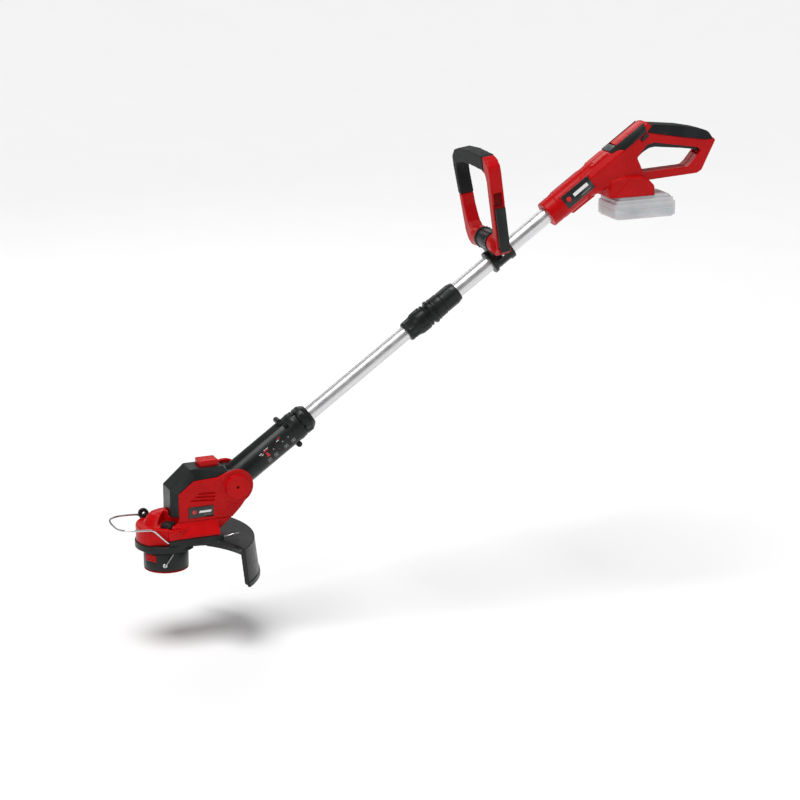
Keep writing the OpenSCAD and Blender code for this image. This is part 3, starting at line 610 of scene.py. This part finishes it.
def print_marks(part, body, marks):
    """Join the red, white and grey marks of one printed plate."""
    for name, shapes, ink in marks:
        finish_mesh(joined(shapes), part + "_" + name, body, ink)


def mirrored(obj):
    """Copy of obj on the other side of the symmetry plane."""
    bm = bmesh.new()
    bm.from_mesh(obj.data)
    bmesh.ops.scale(bm, vec=(1, -1, 1), verts=bm.verts)
    return new_object(bm, "mirrored")


# ------------------------------------------------------------------- cutting head

WIRE_HALF = [
    (115, -46, 59.4), (107, -46, 59.4), (103, -46, 59), (98, -46, 57.6), (93, -46, 57),
    (80, -46, 57), (30, -46, 57), (-4, -46, 57), (-9, -46, 57.6), (-12, -46, 60),
    (-29, -46, 78), (-33, -46, 82), (-38, -45, 84), (-55, -44, 85), (-70, -42, 86),
    (-81, -37, 86), (-88, -29, 86), (-91, -20, 86), (-92, -8, 86),
]
WIRE_R = 1.75
LINE_ROUTE = [
    (-12, -32, 15), (-12.5, -34, 15), (-13, -36, 15), (-13.5, -38, 15),
    (-13.5, -39.5, 15.5), (-13, -41, 16.5), (-12.5, -42, 18), (-11.5, -42.8, 20),
    (-10.5, -43.2, 22), (-9, -43.5, 24), (-7.5, -43.6, 26), (-6, -43.6, 28),
    (-4.5, -43.5, 30), (-3, -43.4, 32), (-1.5, -43.2, 34), (0, -43, 36),
]
LINE_D = 1.6
HALF_HEAD = 34
VENT_SLOTS = [
    [(47, 132.2), (52, 134.5), (78.5, 133.6), (78.5, 130.8)],
    [(40.5, 127), (46, 129.2), (78.5, 127.2), (78.5, 124.4)],
    [(33, 121.5), (38.5, 124), (78.5, 121.2), (78.5, 118.4)],
]
PANEL_STEP = [
    (79, 95), (79, 151), (88, 154.5), (94, 150), (92, 138), (95, 124), (104, 112), (103, 104),
    (90, 92),
]


def build_wire():
    far = [(x, -y, z) for x, y, z in reversed(WIRE_HALF)]
    stand_for("wire_guard", tube_along(smoothed(WIRE_HALF + far), WIRE_R), WIRE)


def build_line():
    route = smoothed(LINE_ROUTE, 1)
    look = stand_for("trimmer_line", tube_along(route, LINE_D / 2, 14))


def shoulder_slots():
    """Row of small vents on the sloping shoulder of the near side."""
    cuts = []
    for x in (-3, 2, 7, 12):
        place = Matrix.Translation((x, -41.5, 76)) @ Matrix.Rotation(radians(53.1), 4, "X")
        cuts.append(block((-1.1, -4.6, -1.1), (1.1, 4.6, 6), place))
    return cuts


def build_head():
    slots = shoulder_slots()
    slots += [mirrored(slot) for slot in slots]
    base = carve(cad_copy("head_base"), cut=slots)
    stand_for("head_base", soften(base, 0.8, 5), crease=60)
    for node, side in (("head_shell_near", -1), ("head_shell_far", 1)):
        y_in, y_out = sorted((side * (HALF_HEAD - 2.6), side * (HALF_HEAD + 3)))
        cuts = [prism(outline, y_in, y_out) for outline in VENT_SLOTS]
        y_in, y_out = sorted((side * (HALF_HEAD - 0.7), side * (HALF_HEAD + 1)))
        cuts.append(prism(PANEL_STEP, y_in, y_out))
        shell = carve(cad_copy(node), cut=cuts)
        stand_for(node, soften(shell, 0.6, 4), crease=60)
    stand_for("motor_cap", soften(cad_copy("motor_cap"), 0.8, 4), crease=50)
    rounded_nodes([("tilt_button", 1.6, 3), ("wire_button", 1.0, 3), ("wire_clip", 0.6, 3)])
    softened_nodes([("guard", 0.9, 4)])
    ribs = [block((x, -6, 183), (x + 5, 6, 184.2)) for x in (61, 69, 77)]
    finish_mesh(edge_round(joined(ribs), 0.3, 2), "tilt_button_ribs", "tilt_button", RED)


def build_spool():
    rounded_nodes([("spool_cover", 0.5, 2), ("bump_cap", 0.3, 2), ("spool_latch_near", 0.35, 2),
                   ("spool_latch_far", 0.35, 2)])


# ------------------------------------------------------------------ neck and shaft


def build_neck():
    rounded_nodes([("neck_near", 0.6, 3), ("neck_far", 0.6, 3)])
    collar = lathe([(12.6, 154), (23, 154), (24.6, 155.6), (24.6, 166), (23.8, 167.6), (19, 174.8),
                    (17.4, 176), (12.6, 176)], SHAFT)
    cuts = grooves(6, 23.5, 7, 157.6, 165) + grooves(6, 21, 3.4, 150, 157, 30)
    stand_for("lock_collar", edge_round(carve(collar, cut=[joined(cuts)]), 0.5, 3))
    mouth = lathe([(12.8, 147.5), (24, 147.5), (24.8, 148.3), (24.8, 152.2), (24.2, 153),
                   (12.8, 153)], SHAFT)
    mouth = carve(mouth, cut=[joined(grooves(6, 22.5, 3, 149.4, 160, 30))])
    finish_mesh(edge_round(mouth, 0.4, 2), "neck_mouth", "neck", BLACK)
    stand_for("neck_screws", cad_copy("neck_screws"), DARK_STEEL)


def build_telescope_clamp():
    nut = lathe([(13.2, 395), (16.2, 395), (17.6, 396.6), (18, 399), (18.5, 413), (20.7, 419), (21, 424),
                 (21, 436), (20.2, 437.4), (19, 437.8), (19, 439.4), (20.2, 440), (20.4, 442),
                 (19.8, 443), (13.2, 443)], SHAFT)
    cuts = grooves(7, 17.3, 5, 400, 412.5) + grooves(14, 20.2, 0.6, 421, 435)
    stand_for("clamp_nut", edge_round(carve(nut, cut=[joined(cuts)]), 0.45, 3))
    sleeve = lathe([(14, 443.6), (17.5, 443.6), (17.5, 448), (20.4, 448), (21.8, 449.6),
                    (21.8, 453), (20.8, 454.8), (19.6, 455.4), (19.6, 456.6), (20.6, 457.4),
                    (20.6, 460), (19.4, 461), (19.8, 463), (19.8, 474), (18.4, 475), (18.4, 476.2),
                    (19.2, 477), (19.2, 500), (17.6, 507), (16.8, 509), (14, 509)], SHAFT)
    cuts = grooves(8, 18.4, 0.45, 480, 504, 22.5) + grooves(8, 18.75, 4.6, 481, 498)
    stand_for("clamp_sleeve", edge_round(carve(sleeve, cut=[joined(cuts)]), 0.4, 3))


# --------------------------------------------------------------- auxiliary handle


def build_aux_handle():
    recess = block((-7.6, -70, 70.5), (7.6, -55.5, 94), HUB)
    loop = carve(cad_copy("aux_loop"), cut=[recess])
    stand_for("aux_loop", soften(loop, 1.0, 26), crease=60)
    # Dark red sheet on the recess floor: painted shade in the pocket
    shade_inset = edge_round(block((-7, -57.4, 70.5), (7, -55, 93.6), HUB), 0.5, 2)
    finish_mesh(shade_inset, "aux_loop_recess_painted_shade", "aux_handle", RECESS_SHADE_RED)
    softened_nodes([("aux_rubber", 1.0, 26)])
    rounded_nodes([("aux_lever", 1.2, 3), ("aux_clamp_upper", 0.8, 3), ("aux_clamp_lower", 0.8, 3),
                   ("ratchet_discs", 0.25, 2)])


# -------------------------------------------------------------------- rear handle

SCREWS = [
    on_axis(735, 18), on_axis(735, -18), (886, 607.5), (987, 617), (1009, 655), on_axis(905, 1),
]
SHOE_PANEL = [(819, 578), (896, 578), (895.5, 593), (886, 602.5), (872, 609), (850, 610)]
# Place of the near badge plate, which is turned a little towards the top
BADGE_FLAT = SHAFT @ Matrix.Rotation(radians(-14), 4, "Z")


def build_rear_handle():
    for node, side in (("housing_near", -1), ("housing_far", 1)):
        y_in, y_out = sorted((0, -side * 15))
        lid = block((16, y_in, 829), (23, y_out, 864.6), SHAFT)
        y_in, y_out = sorted((side * 28, side * 31.8))
        panel = prism(SHOE_PANEL, y_in, y_out)
        half = carve(cad_copy(node), add=[lid, panel])
        stand_for(node, soften(half, 0.9, 9), crease=60)
    softened_nodes([("grip_rubber", 0.9, 9), ("trigger", 0.6, 8)])
    rounded_nodes([("top_cap", 1.2, 3), ("trim_band", 0.4, 2), ("lock_button", 1.0, 3),
                   ("handle_badges", 0.3, 2)])
    parts = []
    for x, z in SCREWS:
        head = disc(x, z, 3.6, 11, 13.6)
        cross = joined([block((x - 2.2, 12, z - 0.4), (x + 2.2, 16, z + 0.4)),
                        block((x - 0.4, 12, z - 2.2), (x + 0.4, 16, z + 2.2))])
        parts += [carve(head, cut=[cross]), disc(x, z, 1.9, -11.8, 11.2)]
    stand_for("housing_screws", joined(parts))


def build_battery():
    case = cad_copy("battery_case")
    panel = [(852, 544.5), (926, 544.5), (926, 553.5), (852, 553.5)]
    case = carve(case, cut=[prism(panel, -40, -37), prism(panel, 37, 40)])
    stand_for("battery_case", edge_round(case, 1.2, 3))
    rounded_nodes([("battery_lid", 1.0, 3), ("battery_latch", 0.8, 3)])
    ribs = [block((938.4, -10, z), (939.9, 10, z + 1.4)) for z in (562, 565, 568)]
    finish_mesh(edge_round(joined(ribs), 0.3, 2), "battery_latch_ribs", "battery_latch", BATTERY)


# -------------------------------------------------------------------------- marks


def build_marks():
    """Plain coloured shapes where the tool carries printed plates; no words or signs."""
    rounded_nodes([("head_badges", 0.3, 2)])
    dots, bars, lines = [], [], []
    for side in (-1, 1):
        y0, y1 = sorted((side * (HALF_HEAD + 0.2), side * (HALF_HEAD + 0.55)))
        dots.append(disc(41, 101.8, 3.6, y0, y1))
        bars.append(prism([(49, 100), (70, 100), (71.5, 103.6), (50.5, 103.6)], y0, y1))
        lines.append(prism([(58, 95.6), (71, 95.6), (71, 96.4), (58, 96.4)], y0, y1))
    print_marks("head_badge", "head",
                [("dots", dots, MARK_RED), ("bars", bars, MARK_WHITE), ("lines", lines, MARK_GREY)])
    dot = rod((1, 25.2, 760), (1, 25.62, 760), 4.4, 40)
    dot.data.transform(BADGE_FLAT)
    bar = block((-2, 25.2, 771), (4, 25.62, 803), BADGE_FLAT)
    line = block((-8, 25.2, 782), (-7, 25.62, 803), BADGE_FLAT)
    print_marks("handle_badge", "handle",
                [("dots", [dot, mirrored(dot)], MARK_RED), ("bars", [bar, mirrored(bar)], MARK_WHITE),
                 ("lines", [line, mirrored(line)], MARK_GREY)])
    white = [patch(63, 69, 10.5, 11.5), patch(66, 70, 7.5, 8.5), patch(74, 83, 12, 12.8),
             patch(100, 106, 10, 11)]
    red = [patch(71, 82, 9.6, 10.6), patch(74, 78, 1, 7), patch(73, 79, -0.6, 1),
           patch(97, 98, -3, 9), patch(103, 110, 12.4, 13.4)]
    grey = []
    for s in (70, 84, 106, 122):
        for a0, a1, b0, b1 in ((0, 7, 0, 0.8), (0, 7, 6, 6.8), (0, 0.8, 0, 6.8), (6.2, 7, 0, 6.8),
                               (2, 5, 2, 4.6)):
            grey.append(patch(s + a0, s + a1, -11 + b0, -11 + b1))
    for s in (88, 108, 120):
        grey.append(patch(s, s + 2.2, 3, 5.2))
    print_marks("neck_marks", "neck",
                [("white", white, MARK_WHITE), ("red", red, MARK_RED), ("grey", grey, MARK_GREY)])


paint_cad_nodes()
build_wire()
build_line()
build_head()
build_spool()
build_neck()
build_telescope_clamp()
build_aux_handle()
build_rear_handle()
build_battery()
build_marks()
make_camera()
make_stage()
